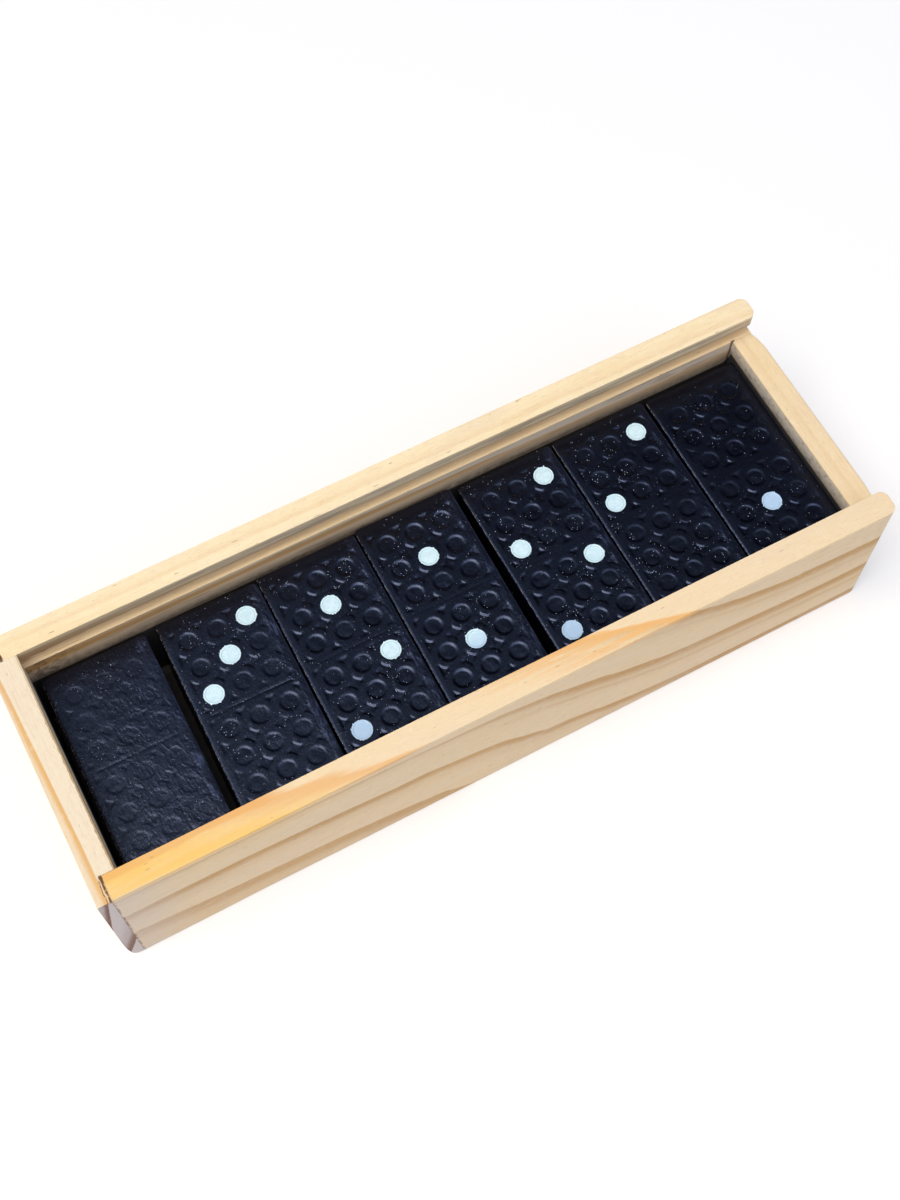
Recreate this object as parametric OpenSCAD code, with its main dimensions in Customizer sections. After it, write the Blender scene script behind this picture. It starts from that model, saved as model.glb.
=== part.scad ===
// Wooden box for a double-six set of dominoes, open, grooved for a sliding lid.
// The 28 tiles lie in four layers of seven. The origin is on the underside, at
// the middle of the well: X along the box, with the low end at +X, and Z up.

/* [Dominoes] */
// Length of a tile
tile_l = 40.2; // [30:0.1:60]
// Width of a tile
tile_w = 19.7; // [15:0.1:30]
// Thickness of a tile
tile_t = 5; // [3:0.1:10]
// Radius of a tile's corners, seen from above
tile_corner_r = 0.8; // [0.3:0.1:2]
// Diameter of a pip
pip_d = 4; // [2:0.1:5]
// Depth of the well that a pip is painted in
pip_depth = 0.3; // [0.1:0.05:1]
// Distance between neighbouring pip places
pip_pitch = 5.6; // [5:0.1:6]
// Distance from the dividing line to the middle of a half's pip grid
half_offset = 9.15; // [8.5:0.05:10]
// Width of the dividing line
score_w = 0.5; // [0.2:0.1:1]
// Depth of the dividing line
score_depth = 0.3; // [0.1:0.05:1]
// Length of plain tile left at each end of the dividing line
score_margin = 2; // [1:0.1:4]

/* [Room around the tiles] */
// Free length shared out along a row of seven tiles
row_slack = 6.1; // [5.5:0.1:12]
// Free length at the ends of the tiles, both ends together
end_slack = 1.8; // [1.5:0.1:5]
// Air between the top layer of tiles and the groove's floor
headroom = 4.4; // [1:0.1:15]

/* [Boards] */
// Thickness of the two side boards
side_t = 4.7; // [4:0.1:10]
// Thickness of the two end boards
end_t = 5; // [4.5:0.1:10]
// Thickness of the tall end board's lap over the side boards' ends
lap_t = 2.5; // [1:0.1:2.5]
// Thickness of the bottom panel
bottom_t = 2.6; // [1.5:0.1:5]
// Depth of the rabbets that the bottom panel sits in
rabbet_d = 2; // [1:0.1:2.4]
// Chamfer that stands for the sanded edges
ease = 0.5; // [0.2:0.1:1]
// Radius of the side boards' corners at the open end
nose_r = 2; // [1:0.1:2.2]

/* [Lid groove] */
// Height of the groove that a sliding lid runs in
groove_h = 3.2; // [2:0.1:6]
// Depth of the groove
groove_d = 2; // [1.5:0.1:2.2]
// Height of the lip over the groove
lip_h = 2.8; // [2:0.1:6]

/* [Hidden] */
$fn = 32;
eps = 0.01;

// The set, layer by layer from the bottom, left to right: [far half, near half].
LAYERS = [
  [[6, 6], [6, 5], [5, 5], [6, 4], [5, 4], [4, 4], [6, 3]],
  [[5, 3], [4, 3], [3, 3], [6, 2], [5, 2], [4, 2], [3, 2]],
  [[6, 1], [5, 1], [4, 1], [3, 1], [6, 0], [5, 0], [4, 0]],
  [[0, 0], [3, 0], [1, 2], [1, 1], [2, 2], [2, 0], [0, 1]]
];
// How loosely each stack stands: the share of the row's slack that lies left of
// it, its shift along the tiles as a share of the end slack, and its turn.
STACKS = [
  [0.205, -0.25, -0.3], [0.516, -0.22, -0.8], [0.566, 0, -0.4], [0.607, 0.22, -0.4],
  [0.861, -0.25, 0.75], [0.910, -0.17, 0.55], [0.975, -0.4, 0.1]
];

well_l = len(STACKS) * tile_w + row_slack;
well_w = tile_l + end_slack;
ledge_z = bottom_t + len(LAYERS) * tile_t + headroom;
lip_z = ledge_z + groove_h;
box_h = lip_z + lip_h;
box_w = well_w + 2 * side_t;
box_l = well_l + 2 * end_t;
side_l = box_l - lap_t;
side_mid_x = lap_t / 2;
panel_l = well_l + 2 * rabbet_d;
panel_w = well_w + 2 * rabbet_d;

WOOD = [0.93, 0.79, 0.58];
PLY = [0.86, 0.72, 0.52];
BLACK = [0.07, 0.07, 0.09];

function tile_name(t) = str("domino_", max(t), "_", min(t));
function tile_names(layer) = [for (t = layer) tile_name(t)];

// ---- Boards ----

// A bar along X with its four long edges eased, centred in X and Y, standing on z = 0.
module eased_bar(l, w, h) {
  outline = [
    [-w / 2 + ease, 0], [w / 2 - ease, 0], [w / 2, ease], [w / 2, h - ease],
    [w / 2 - ease, h], [-w / 2 + ease, h], [-w / 2, h - ease], [-w / 2, ease]
  ];
  rotate([90, 0, 90]) translate([0, 0, -l / 2]) linear_extrude(l) polygon(outline);
}

// The space that the bottom panel takes, which each board is rabbeted for.
module panel_space() {
  translate([-panel_l / 2, -panel_w / 2, -eps]) cube([panel_l, panel_w, bottom_t + eps]);
}

// The space that a lid takes in its grooves, open at the low end.
module groove_space() {
  x = -well_l / 2 - groove_d;
  w = well_w + 2 * groove_d;
  translate([x, -w / 2, ledge_z]) cube([box_l, w, groove_h]);
}

// A square post less a quarter of round bar: what a corner of radius r loses.
// The corner lies at the origin, with its board towards -X and -Y.
module corner_loss(r, h) {
  difference() {
    translate([-r, -r, 0]) cube([r + eps, r + eps, h]);
    translate([-r, -r, -eps]) cylinder(r = r, h = h + 2 * eps);
  }
}

// The side board at +Y: grooved for a lid, rabbeted for the panel, round at the open end.
module side_board() {
  color(WOOD) difference() {
    translate([side_mid_x, (well_w + side_t) / 2, 0]) eased_bar(side_l, side_t, box_h);
    groove_space();
    panel_space();
    translate([box_l / 2, box_w / 2, -eps]) corner_loss(nose_r, box_h + 2 * eps);
    translate([box_l / 2, well_w / 2, lip_z - eps])
      mirror([0, 1, 0]) corner_loss(nose_r, lip_h + 2 * eps);
  }
}
module side_board_back() { side_board(); }
module side_board_front() { mirror([0, 1, 0]) side_board(); }

// The tall end board: its lap covers the side boards' ends, the rest lies between them.
module end_board_tall() {
  color(WOOD) difference() {
    union() {
      translate([-box_l / 2 + lap_t / 2, 0, 0]) rotate(90) eased_bar(box_w, lap_t, box_h);
      translate([-box_l / 2 + lap_t - ease - eps, -well_w / 2, 0])
        cube([end_t - lap_t + ease + eps, well_w, box_h]);
    }
    groove_space();
    panel_space();
  }
}

// The low end board: level with the groove's floor, so that a lid passes over it.
module end_board_low() {
  color(WOOD) difference() {
    translate([(well_l + end_t) / 2, 0, 0]) rotate(90) eased_bar(well_w, end_t, ledge_z);
    panel_space();
  }
}

module bottom_panel() {
  color(PLY) translate([-panel_l / 2, -panel_w / 2, 0]) cube([panel_l, panel_w, bottom_t]);
}

// ---- Dominoes ----

// The places of a half's n pips on its 3 x 3 grid.
function pip_places(n) = concat(
  n % 2 == 1 ? [[0, 0]] : [],
  n >= 2 ? [[1, 1], [-1, -1]] : [],
  n >= 4 ? [[-1, 1], [1, -1]] : [],
  n == 6 ? [[-1, 0], [1, 0]] : []
);

module tile_outline() {
  square([tile_w - 2 * tile_corner_r, tile_l], center = true);
  square([tile_w, tile_l - 2 * tile_corner_r], center = true);
  for (sx = [-1, 1], sy = [-1, 1])
    translate([sx * (tile_w / 2 - tile_corner_r), sy * (tile_l / 2 - tile_corner_r)])
      circle(tile_corner_r);
}

module half_pips(n) {
  for (p = pip_places(n)) translate([p[0] * pip_pitch, p[1] * pip_pitch, tile_t - pip_depth])
    cylinder(d = pip_d, h = pip_depth + eps);
}

module tile(ends) {
  score_l = tile_w - 2 * score_margin;
  difference() {
    linear_extrude(tile_t) tile_outline();
    translate([0, half_offset, 0]) half_pips(ends[0]);
    translate([0, -half_offset, 0]) half_pips(ends[1]);
    translate([-score_l / 2, -score_w / 2, tile_t - score_depth])
      cube([score_l, score_w, score_depth + eps]);
  }
}

// A tile in its stack, where the four tiles of one stack stand exactly over each other.
module stacked_tile(layer, i) {
  x = -well_l / 2 + (i + 0.5) * tile_w + STACKS[i][0] * row_slack;
  y = STACKS[i][1] * end_slack;
  color(BLACK) translate([x, y, bottom_t + layer * tile_t]) rotate(STACKS[i][2])
    tile(LAYERS[layer][i]);
}

side_board_front();
side_board_back();
end_board_tall();
end_board_low();
bottom_panel();
for (layer = [0 : len(LAYERS) - 1], i = [0 : len(STACKS) - 1])
  stacked_tile(layer, i);
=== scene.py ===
import math
import random

import bmesh
import bpy
from mathutils import Euler, Matrix, Vector, geometry, noise


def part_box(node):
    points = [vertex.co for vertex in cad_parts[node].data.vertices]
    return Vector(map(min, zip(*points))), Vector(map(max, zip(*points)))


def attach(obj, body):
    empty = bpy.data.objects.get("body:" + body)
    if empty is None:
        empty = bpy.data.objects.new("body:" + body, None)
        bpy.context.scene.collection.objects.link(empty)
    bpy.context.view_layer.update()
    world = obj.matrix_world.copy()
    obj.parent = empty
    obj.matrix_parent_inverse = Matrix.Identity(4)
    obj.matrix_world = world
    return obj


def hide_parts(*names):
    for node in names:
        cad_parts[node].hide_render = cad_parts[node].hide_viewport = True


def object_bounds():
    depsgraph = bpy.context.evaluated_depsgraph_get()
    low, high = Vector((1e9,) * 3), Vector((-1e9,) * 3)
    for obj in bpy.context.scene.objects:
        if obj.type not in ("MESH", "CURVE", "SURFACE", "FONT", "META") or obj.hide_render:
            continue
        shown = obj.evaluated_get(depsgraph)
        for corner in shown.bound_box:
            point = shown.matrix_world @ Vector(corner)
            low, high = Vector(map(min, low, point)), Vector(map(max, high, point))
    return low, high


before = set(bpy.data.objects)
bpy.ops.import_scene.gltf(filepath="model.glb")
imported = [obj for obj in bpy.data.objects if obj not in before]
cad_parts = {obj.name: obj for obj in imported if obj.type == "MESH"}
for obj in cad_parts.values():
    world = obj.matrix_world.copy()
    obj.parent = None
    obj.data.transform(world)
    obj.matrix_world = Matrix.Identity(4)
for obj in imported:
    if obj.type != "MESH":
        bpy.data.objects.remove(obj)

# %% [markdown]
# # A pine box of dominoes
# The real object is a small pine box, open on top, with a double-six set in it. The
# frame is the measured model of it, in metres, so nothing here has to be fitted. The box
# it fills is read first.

frame_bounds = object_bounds()
MM = 0.001

# %% [markdown]
# ## The sizes to work from
# A maker marks out a board from the pieces that it has to meet. Sizes that are typed in
# could disagree with the solids, so the main ones are read off the frame, in
# millimetres. Of the box, only the lid's groove, which no solid's outline shows, and the
# hair's breadth between two pieces are written down.

# %% Sizes
def measured(corners):
    """The lowest and the highest corner in millimetres, to two places."""
    return [[round(value / MM, 2) for value in corner] for corner in corners]


END, SIDE, TOP = measured(frame_bounds)[1]
PANEL_END, PANEL_SIDE, FLOOR = measured(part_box("bottom_panel"))[1]
low_end_from, low_end_to = measured(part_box("end_board_low"))
WELL_END, LEDGE = low_end_from[0], low_end_to[2]
LAP, WELL_SIDE, _ = measured(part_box("side_board_back"))[0]
TILES_TOP = measured(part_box("domino_0_0"))[1][2]
GROOVE_DEPTH, GROOVE_HEIGHT = 2.0, 3.2
LIP = LEDGE + GROOVE_HEIGHT
GAP = 0.03
print("box", 2 * END, "x", 2 * SIDE, "x", TOP, "mm, well", 2 * WELL_END, "x", 2 * WELL_SIDE, "mm")
print("floor", FLOOR, "tiles", TILES_TOP, "ledge", LEDGE, "lip", LIP, "lap", LAP)

# %% [markdown]
# ## The camera
# A camera can be aimed by hand, by tracking an empty, or from a measured position.
# A measured one is used here: a 50 mm lens held above the near left corner, looking
# steeply down over the open box.

# %% Camera
lens = bpy.data.cameras.new("camera")
lens.sensor_fit = "AUTO"
lens.sensor_width = 36
lens.lens = 49.953
lens.clip_start = 0.01
lens.clip_end = 50
camera = bpy.data.objects.new("camera", lens)
camera.location = (-0.06096, -0.10954, 0.29292)
camera.rotation_euler = Euler([math.radians(a) for a in (24.8780, -0.4952, -28.0315)])
bpy.context.scene.collection.objects.link(camera)
bpy.context.scene.camera = camera
bpy.context.scene.view_settings.view_transform = "Standard"
print("camera at", tuple(camera.location))

# %% [markdown]
# ## A bench for finishes
# Wood and lacquer are mixed from many small nodes. Wired by hand they are hard to read,
# so one small class wraps an output socket: plain arithmetic with wires adds the Math
# nodes, and Wire.new makes every other node.

# %% Wires
class Wire:
    """One output of a shader node, which can be used in plain arithmetic."""

    bench = None  # the node tree of the finish that is being mixed

    def __init__(self, socket):
        self.socket = socket

    @classmethod
    def new(cls, kind, settings=None, inputs=None, outlet=0):
        """Adds a node: settings first, then values or wires for its sockets."""
        node = cls.bench.nodes.new("ShaderNode" + kind)
        for name, value in (settings or {}).items():
            if name == "stops":
                cls.set_stops(node.color_ramp.elements, value)
            else:
                setattr(node, name, value)
        for name, value in (inputs or {}).items():
            cls.plug(node.inputs[name], value)
        return cls(node.outputs[outlet])

    @classmethod
    def plug(cls, inlet, value):
        """Puts a wire or a plain value into a socket."""
        if isinstance(value, Wire):
            cls.bench.links.new(value.socket, inlet)
        else:
            inlet.default_value = value

    @staticmethod
    def set_stops(elements, stops):
        """Grey stops for a ramp, each a place and a shade."""
        while len(elements) < len(stops):
            elements.new(1.0)
        for element, (place, shade) in zip(elements, stops):
            element.position = place
            element.color = (shade, shade, shade, 1)

    def maths(self, operation, *others):
        inputs = dict(enumerate((self,) + others))
        return Wire.new("Math", {"operation": operation}, inputs)

    def __add__(self, other):
        return self.maths("ADD", other)

    __radd__ = __add__

    def __mul__(self, other):
        return self.maths("MULTIPLY", other)

    __rmul__ = __mul__

    def __sub__(self, other):
        return self.maths("SUBTRACT", other)

    def __rsub__(self, other):
        return Wire.new("Math", {"operation": "SUBTRACT"}, {0: other, 1: self})

    def __truediv__(self, other):
        return self.maths("DIVIDE", other)

    def __abs__(self):
        return self.maths("ABSOLUTE")


print("wires ready")

# %% [markdown]
# ## Words for mixing
# A handful of short functions cover what a finish needs: where a point is, a mask that
# rises smoothly, a soft random pattern that can be drawn out along the grain, a mix of
# two colours, a mark that was stored with the mesh, and a fine bump.

# %% Mixing
def new_finish(name):
    """A new material whose nodes go on the bench. Returns it and its main shader."""
    finish = bpy.data.materials.new(name)
    finish.use_nodes = True
    Wire.bench = finish.node_tree
    return finish, finish.node_tree.nodes["Principled BSDF"]


def place_mm():
    """The point on the object, in millimetres."""
    place = Wire.new("TexCoord", outlet=3)
    return Wire.new("VectorMath", {"operation": "SCALE"}, {0: place, 3: 1000})


def split(vector):
    """The X, Y and Z of a vector."""
    return [Wire.new("SeparateXYZ", None, {0: vector}, outlet=i) for i in range(3)]


def rise(value, start, end):
    """0 at start, 1 at end, smooth in between. It falls where end is the lower one."""
    settings = {"interpolation_type": "SMOOTHSTEP"}
    return Wire.new("MapRange", settings, {"Value": value, "From Min": start, "From Max": end})


def cloud(place, per_mm, detail=2, rough=0.5, twist=0):
    """A soft random pattern; per_mm says how fine it is along X, Y and Z."""
    inputs = {0: place, 1: per_mm, 2: (twist, twist * 1.7, twist * 0.6)}
    spot = Wire.new("VectorMath", {"operation": "MULTIPLY_ADD"}, inputs)
    inputs = {"Vector": spot, "Scale": 1, "Detail": detail, "Roughness": rough}
    return Wire.new("TexNoise", None, inputs)


def mix(below, above, mask):
    """above over below, as much as mask says."""
    inputs = {0: mask, 6: below, 7: above}
    return Wire.new("Mix", {"data_type": "RGBA"}, inputs, outlet=2)


def rgb(red, green, blue):
    return (red, green, blue, 1)


def mark(name):
    """A number that was stored with the points of the mesh."""
    return Wire.new("Attribute", {"attribute_name": name}, outlet=2)


def bump(shader, height, deep, strength):
    """Plugs a bump of `deep` metres into the shader."""
    inputs = {"Strength": strength, "Distance": deep, "Height": height}
    Wire.plug(shader.inputs["Normal"], Wire.new("Bump", None, inputs))


print("mixing ready")

# %% [markdown]
# ## Pine
# Pine has wide pale bands of early wood and narrow orange bands of late wood, one pair
# for each year. A board is a flat cut through such shells, so the bands agree where two
# faces meet. A picture or a wave texture can't do that round a corner, so each board
# gets a formula for its shells, in millimetres through the solid wood. The rest follows
# the grain: fibres, resin ticks, blotches, and the darker, greyer end grain. Last comes
# painted shade on the inside walls: patchy grey just over the dominoes, black lower down.

# %% Pine finish
END_GRAIN = rgb(0.68, 0.60, 0.58)
END_LATE = rgb(0.19, 0.09, 0.07)


def inner_wall_shade(colour, x, y, z, smear):
    """Painted shade on the inside walls: patchy grey just over the dominoes, black lower down."""
    inside = rise(abs(x), WELL_END + 1.2, WELL_END + 0.2)
    inside = inside * rise(abs(y), WELL_SIDE + 1.2, WELL_SIDE + 0.2)
    far = rise(y, WELL_SIDE - 0.5, WELL_SIDE)
    above = z - TILES_TOP + far * 0.9 - rise(x, WELL_END - 1, WELL_END - 0.1) * 1.0
    low = rise(above + smear * 1.5, 3.8, 0.3)
    colour = mix(colour, rgb(0.075, 0.075, 0.08), inside * low * (0.15 + 0.85 * smear))
    black = inside * rise(above + far + smear * 0.6, 0.4, -0.3)
    return mix(colour, rgb(0.016, 0.015, 0.017), black * 0.96)


def pine(name, early, late_wood, rings, along, twist, touch):
    """Pine whose late wood lies where the rings formula says, with touches of its own."""
    finish, shader = new_finish(name)
    place = place_mm()
    x, y, z = split(place)
    long_way = {"x": (1, 0, 0), "y": (0, 1, 0)}[along]

    def grain(fine_along, fine_across):
        return tuple(fine_along if a else fine_across for a in long_way)

    wander = cloud(place, grain(0.018, 0.11), 2, 0.5, twist)
    ripple = cloud(place, grain(0.06, 0.8), 3, 0.6, twist + 3)
    late = rings(x, y, z, wander - 0.5, ripple - 0.5)
    colour = mix(early, late_wood, late)
    blotch = cloud(place, grain(0.035, 0.16), 3, 0.6, twist + 9)
    colour = mix(colour, rgb(0.90, 0.62, 0.27), rise(blotch, 0.48, 0.75) * 0.3)
    colour = mix(colour, rgb(0.82, 0.63, 0.46), rise(blotch, 0.50, 0.28) * 0.35)
    fibre = cloud(place, grain(0.16, 4.5), 4, 0.65, twist + 5)
    colour = mix(colour, rgb(0.58, 0.37, 0.18), rise(fibre, 0.50, 0.80) * 0.35)
    mottle = cloud(place, grain(0.5, 1.1), 4, 0.75, twist + 21)
    colour = mix(colour, rgb(0.80, 0.55, 0.30), rise(mottle, 0.52, 0.72) * 0.22)
    colour = mix(colour, rgb(1.0, 0.90, 0.72), rise(mottle, 0.48, 0.30) * 0.22)

    facing = Wire.new("NewGeometry", outlet=1)
    ends = Wire.new("VectorMath", {"operation": "DOT_PRODUCT"}, {0: facing, 1: long_way}, outlet=1)
    tips = rise(abs({"x": x, "y": y}[along]), WELL_SIDE - 0.7, WELL_SIDE - 0.2)
    ends = rise(abs(ends), 0.55, 0.9) * tips
    pores = cloud(place, (7, 7, 7), 2, 0.6, twist)
    end_colour = mix(END_GRAIN, END_LATE, late)
    end_colour = mix(end_colour, END_LATE, rise(pores, 0.48, 0.66) * (0.18 + 0.7 * late))
    colour = mix(colour, end_colour, ends * 0.95)

    smear = cloud(place, (0.9, 0.9, 0.9), 3, 0.6, twist)
    colour = touch(colour, x, y, z, smear, ripple)
    hair = cloud(place, grain(0.9, 7.0), 2, 0.7, twist + 17)
    colour = mix(colour, rgb(0.60, 0.46, 0.33), rise(hair, 0.52, 0.75) * 0.35)
    tick = cloud(place, grain(0.42, 3.2), 1, 0.5, twist + 13)
    colour = mix(colour, rgb(0.35, 0.19, 0.08), rise(tick, 0.735, 0.80) * 0.7)
    # Painted shade on the inside walls, near and below the dominoes.
    colour = inner_wall_shade(colour, x, y, z, smear)
    Wire.plug(shader.inputs["Base Color"], colour)
    Wire.plug(shader.inputs["Roughness"], 0.52 + 0.25 * fibre)
    bump(shader, fibre * 0.6 + late * 0.4 - ends * pores, 0.00012, 0.25)
    shader.inputs["Specular IOR Level"].default_value = 0.2
    print(name, "has", len(Wire.bench.nodes), "nodes")
    return finish


# %% [markdown]
# ## The rings of each board
# The near side board shows four wide bands on its face that run level, dive, and run
# level again, as grain does near a knot. No simple formula does that, so each band's
# upper edge is a line drawn through a few points, which slides along as it goes into the
# wood. The far side board and the low end board are cut across close, straight shells,
# and the tall end board has steep bands that come out in its end grain.

# %% Bands of late wood
FINE_BAND = [(0.0, 0.0), (0.45, 0.25), (0.68, 0.9), (0.76, 1.0), (0.86, 0.15), (1.0, 0.0)]


def late_band(below, thick, dark):
    """One band of late wood: a sharp upper edge, a dark core, and a long soft tail."""
    core = rise(below, thick, thick * 0.3)
    tail = rise(below, thick * 2.4, thick * 0.6)
    return rise(below, 0, 0.55) * (core * 0.7 + tail * 0.3) * dark


def late_bands(*bands):
    """The darkest of several bands at each point."""
    late = late_band(*bands[0])
    for band in bands[1:]:
        late = late.maths("MAXIMUM", late_band(*band))
    return late


def stack(depth, year, dark):
    """Close, even bands, one for each year's growth of `year` millimetres."""
    age = (depth / year).maths("FRACT")
    return Wire.new("ValToRGB", {"stops": FINE_BAND}, {0: age}) * dark


def drawn(run, points):
    """The depth of a smooth line through a few (run, depth) points, in millimetres."""
    longest, deepest, above = 160, 60, 10
    stops = [(along / longest, (depth + above) / deepest) for along, depth in points]
    ramp = Wire.new("ValToRGB", {"stops": stops}, {0: run / longest})
    ramp.socket.node.color_ramp.interpolation = "CARDINAL"
    return ramp * deepest - above


print("a year of fine grain has", len(FINE_BAND), "shades")

# %% [markdown]
# ## Where the bands lie
# Every formula gets the place of a point and two soft patterns, one slow and one quick,
# which make the bands wander. Depths are measured down from the top or in from a face,
# so that the same band shows on both sides of an edge.

# %% Ring formulas
def near_run(x, y):
    """How far along the near board a point lies. Its bands slide along as they go in."""
    return x + END + (y + SIDE) * 4.2


def near_board_rings(x, y, z, wander, ripple):
    deep = TOP - z + wander * 1.1 + ripple * 0.6
    run = near_run(x, y)
    first = deep - drawn(run, [
        (0, 1.0), (40, 1.4), (60, 2.3), (75, 3.9), (85, 6.6), (95, 10.3), (105, 14.3),
        (112, 16.0), (125, 17.6), (140, 19.0), (160, 19.4)])
    second = deep - drawn(run, [
        (0, 10.4), (15, 10.6), (30, 11.2), (50, 13.2), (62, 14.7), (75, 18.2), (82.5, 22.3),
        (86, 23.5), (89, 24.0), (95, 26.2), (102, 28.3), (112, 29.8), (130, 30.4), (160, 30.3)])
    third = deep - drawn(run, [
        (0, 20.5), (15, 22.7), (30, 24.2), (45, 25.8), (58, 28.2), (64, 30.4), (80, 38)])
    upper = deep - drawn(run, [
        (85, -9), (100, -4.6), (107, -2.0), (112, 0.3), (116, 2.2), (121, 4.5), (130, 7.0),
        (140, 8.3), (160, 9.2)])
    swell = rise(run, 60, 92)
    return late_bands(
        (first, 2.0 + 2.6 * swell, 0.55 + 0.4 * swell),
        (second, 3.8, 0.9),
        (third, 6.2, 0.8),
        (upper, 4.4, 0.95),
        (first - 4.6, 2.6, swell * 0.45),
        (upper - 4.4, 2.4, 0.35),
        (second - 4.2, 2.0, swell * 0.2))


def far_board_rings(x, y, z, wander, ripple):
    depth = (SIDE - y) * 0.9 + (TOP - z) * 0.35 - (x + END) * 0.011 + 0.6
    return stack(depth + wander * 0.73 + ripple * 0.3, 3.3, 0.35)


def tall_board_rings(x, y, z, wander, ripple):
    deep = TOP - z
    inside = x + END
    in_lap = rise(x, LAP + 0.9, LAP - 0.1)
    shore = (1.38 - y * 0.028).maths("MINIMUM", 1.8)
    steep = (shore - inside) * 8.3 - deep + wander * 5 + ripple * 2.5
    low = 32.2 - deep - inside * 2.9 + wander * 4 + ripple
    middle = 18.4 - deep - inside * 4.0 + wander * 6 + ripple
    return late_bands(
        (steep, 9, 1.0),
        (low, 6.5, in_lap * 0.95),
        (middle, 3.0, rise(y + SIDE, 0.5, 7.7) * in_lap * 0.6))


def low_board_rings(x, y, z, wander, ripple):
    depth = (x - WELL_END) * 0.8 + (LEDGE - z) * 0.3 + (y + WELL_SIDE) * 0.01
    return stack(depth + wander * 0.57 + ripple * 0.23, 2.6, 0.30)


print("four boards, four ways through the log")

# %% [markdown]
# ## Touches of age
# Some marks belong to one place and not to the whole log. Resin has turned the left end
# of the near board's top gold, with an orange rim, and further along an orange streak
# comes out in fine lines. The filler in the corner joints has gone dark, in a broken
# line. Inside the box, painted shade and painted light are added too. Each board has one
# function that lays its own marks over the grain, counted from the box's edges.

# %% Corner joints
def corner_filler(colour, x, y, z, smear):
    """A dark broken line on top of the joint between the lap and a side board."""
    joint = x - LAP
    inner_end = 1 - rise(abs(y), WELL_SIDE + 0.2, WELL_SIDE + 2)
    top = rise(z, TOP - 1, TOP - 0.4) * rise(abs(y), WELL_SIDE - 0.3, WELL_SIDE + 0.1)
    seam = joint + smear * 0.4
    seam = top * rise(seam, -0.8, -0.5) * rise(seam, 0.6, 0.3)
    near_side = rise(y, -WELL_SIDE, -WELL_SIDE - 0.5)
    colour = mix(colour, rgb(0.80, 0.50, 0.24), seam * near_side * 0.7)
    off = abs(joint + smear * 0.5 - 0.1)
    line = 1 - rise(off - inner_end * 0.12, 0.08, 0.24)
    second = 1 - rise(abs(joint + smear * 0.7 + 0.3), 0.04, 0.16)
    second = second * rise(y, -WELL_SIDE - 0.5, -WELL_SIDE - 1)
    line = line.maths("MAXIMUM", second * 0.8)
    broken = rise(smear + inner_end * 0.25, 0.38, 0.50)
    colour = mix(colour, rgb(0.15, 0.07, 0.025), line * broken * top)
    face = rise(y + SIDE, 0.4, 0.1) * rise(abs(joint - 0.1), 0.32, 0.12)
    return mix(colour, rgb(0.30, 0.19, 0.12), face * rise(smear, 0.42, 0.58) * 0.7)


print("filler in the joints at", LAP, "mm")

# %% [markdown]
# ## Marks on the near and the far board
# The near board carries the gold end and the streak, and its top is painted lighter as
# lit. The far board shows its inside: a lip with painted shade in patches and a painted
# shadow under it, a ledge painted bright, and a wall with one warm band, darker towards
# the left corner, with painted shade in the right one.

# %% Marks on the side boards
def near_board_marks(colour, x, y, z, smear, drift):
    """Top painted lighter as lit, the gold end and its orange rim, the streak, a greyer left end.
    """
    top = rise(z, TOP - 1.6, TOP - 0.4)
    # Painted light: the top face is lighter and warmer than the near face.
    colour = mix(colour, rgb(0.98, 0.76, 0.47), top * 0.3)
    from_end = x + END + (y + SIDE) * 5.3 + drift * 14 - 7
    gold = (1 - rise(from_end, 26, 60)) * top * (0.15 + 1.45 * drift)
    colour = mix(colour, rgb(0.94, 0.59, 0.17), gold)
    rim = rise(from_end, 34, 52) * (1 - rise(from_end, 53, 60)) * top
    colour = mix(colour, rgb(0.86, 0.46, 0.17), rim * 0.75)
    run = near_run(x, y) + drift * 5 - 2.5
    fine = cloud(place_mm(), (0.07, 2.2, 2.2), 3, 0.6, 61) + rise(run, 104, 111) * 0.16
    streak = rise(run, 112.2, 111.0) * rise(run, 76, 108) * rise(fine, 0.42, 0.56)
    colour = mix(colour, rgb(0.93, 0.50, 0.17), streak * top * 0.75)
    grey = rise(x + END, 17, 3) * rise(y + SIDE, 0.4, 0.1)
    colour = mix(colour, rgb(0.74, 0.65, 0.58), grey * 0.45)
    inner_edge = rise(y + WELL_SIDE + drift * 2.4, -0.4, 0.2)
    stripe = inner_edge * (1 - rise(x + END, 29, 37)) * top
    colour = mix(colour, rgb(0.85, 0.42, 0.12), stripe * 0.6)
    return corner_filler(colour, x, y, z, smear)


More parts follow.
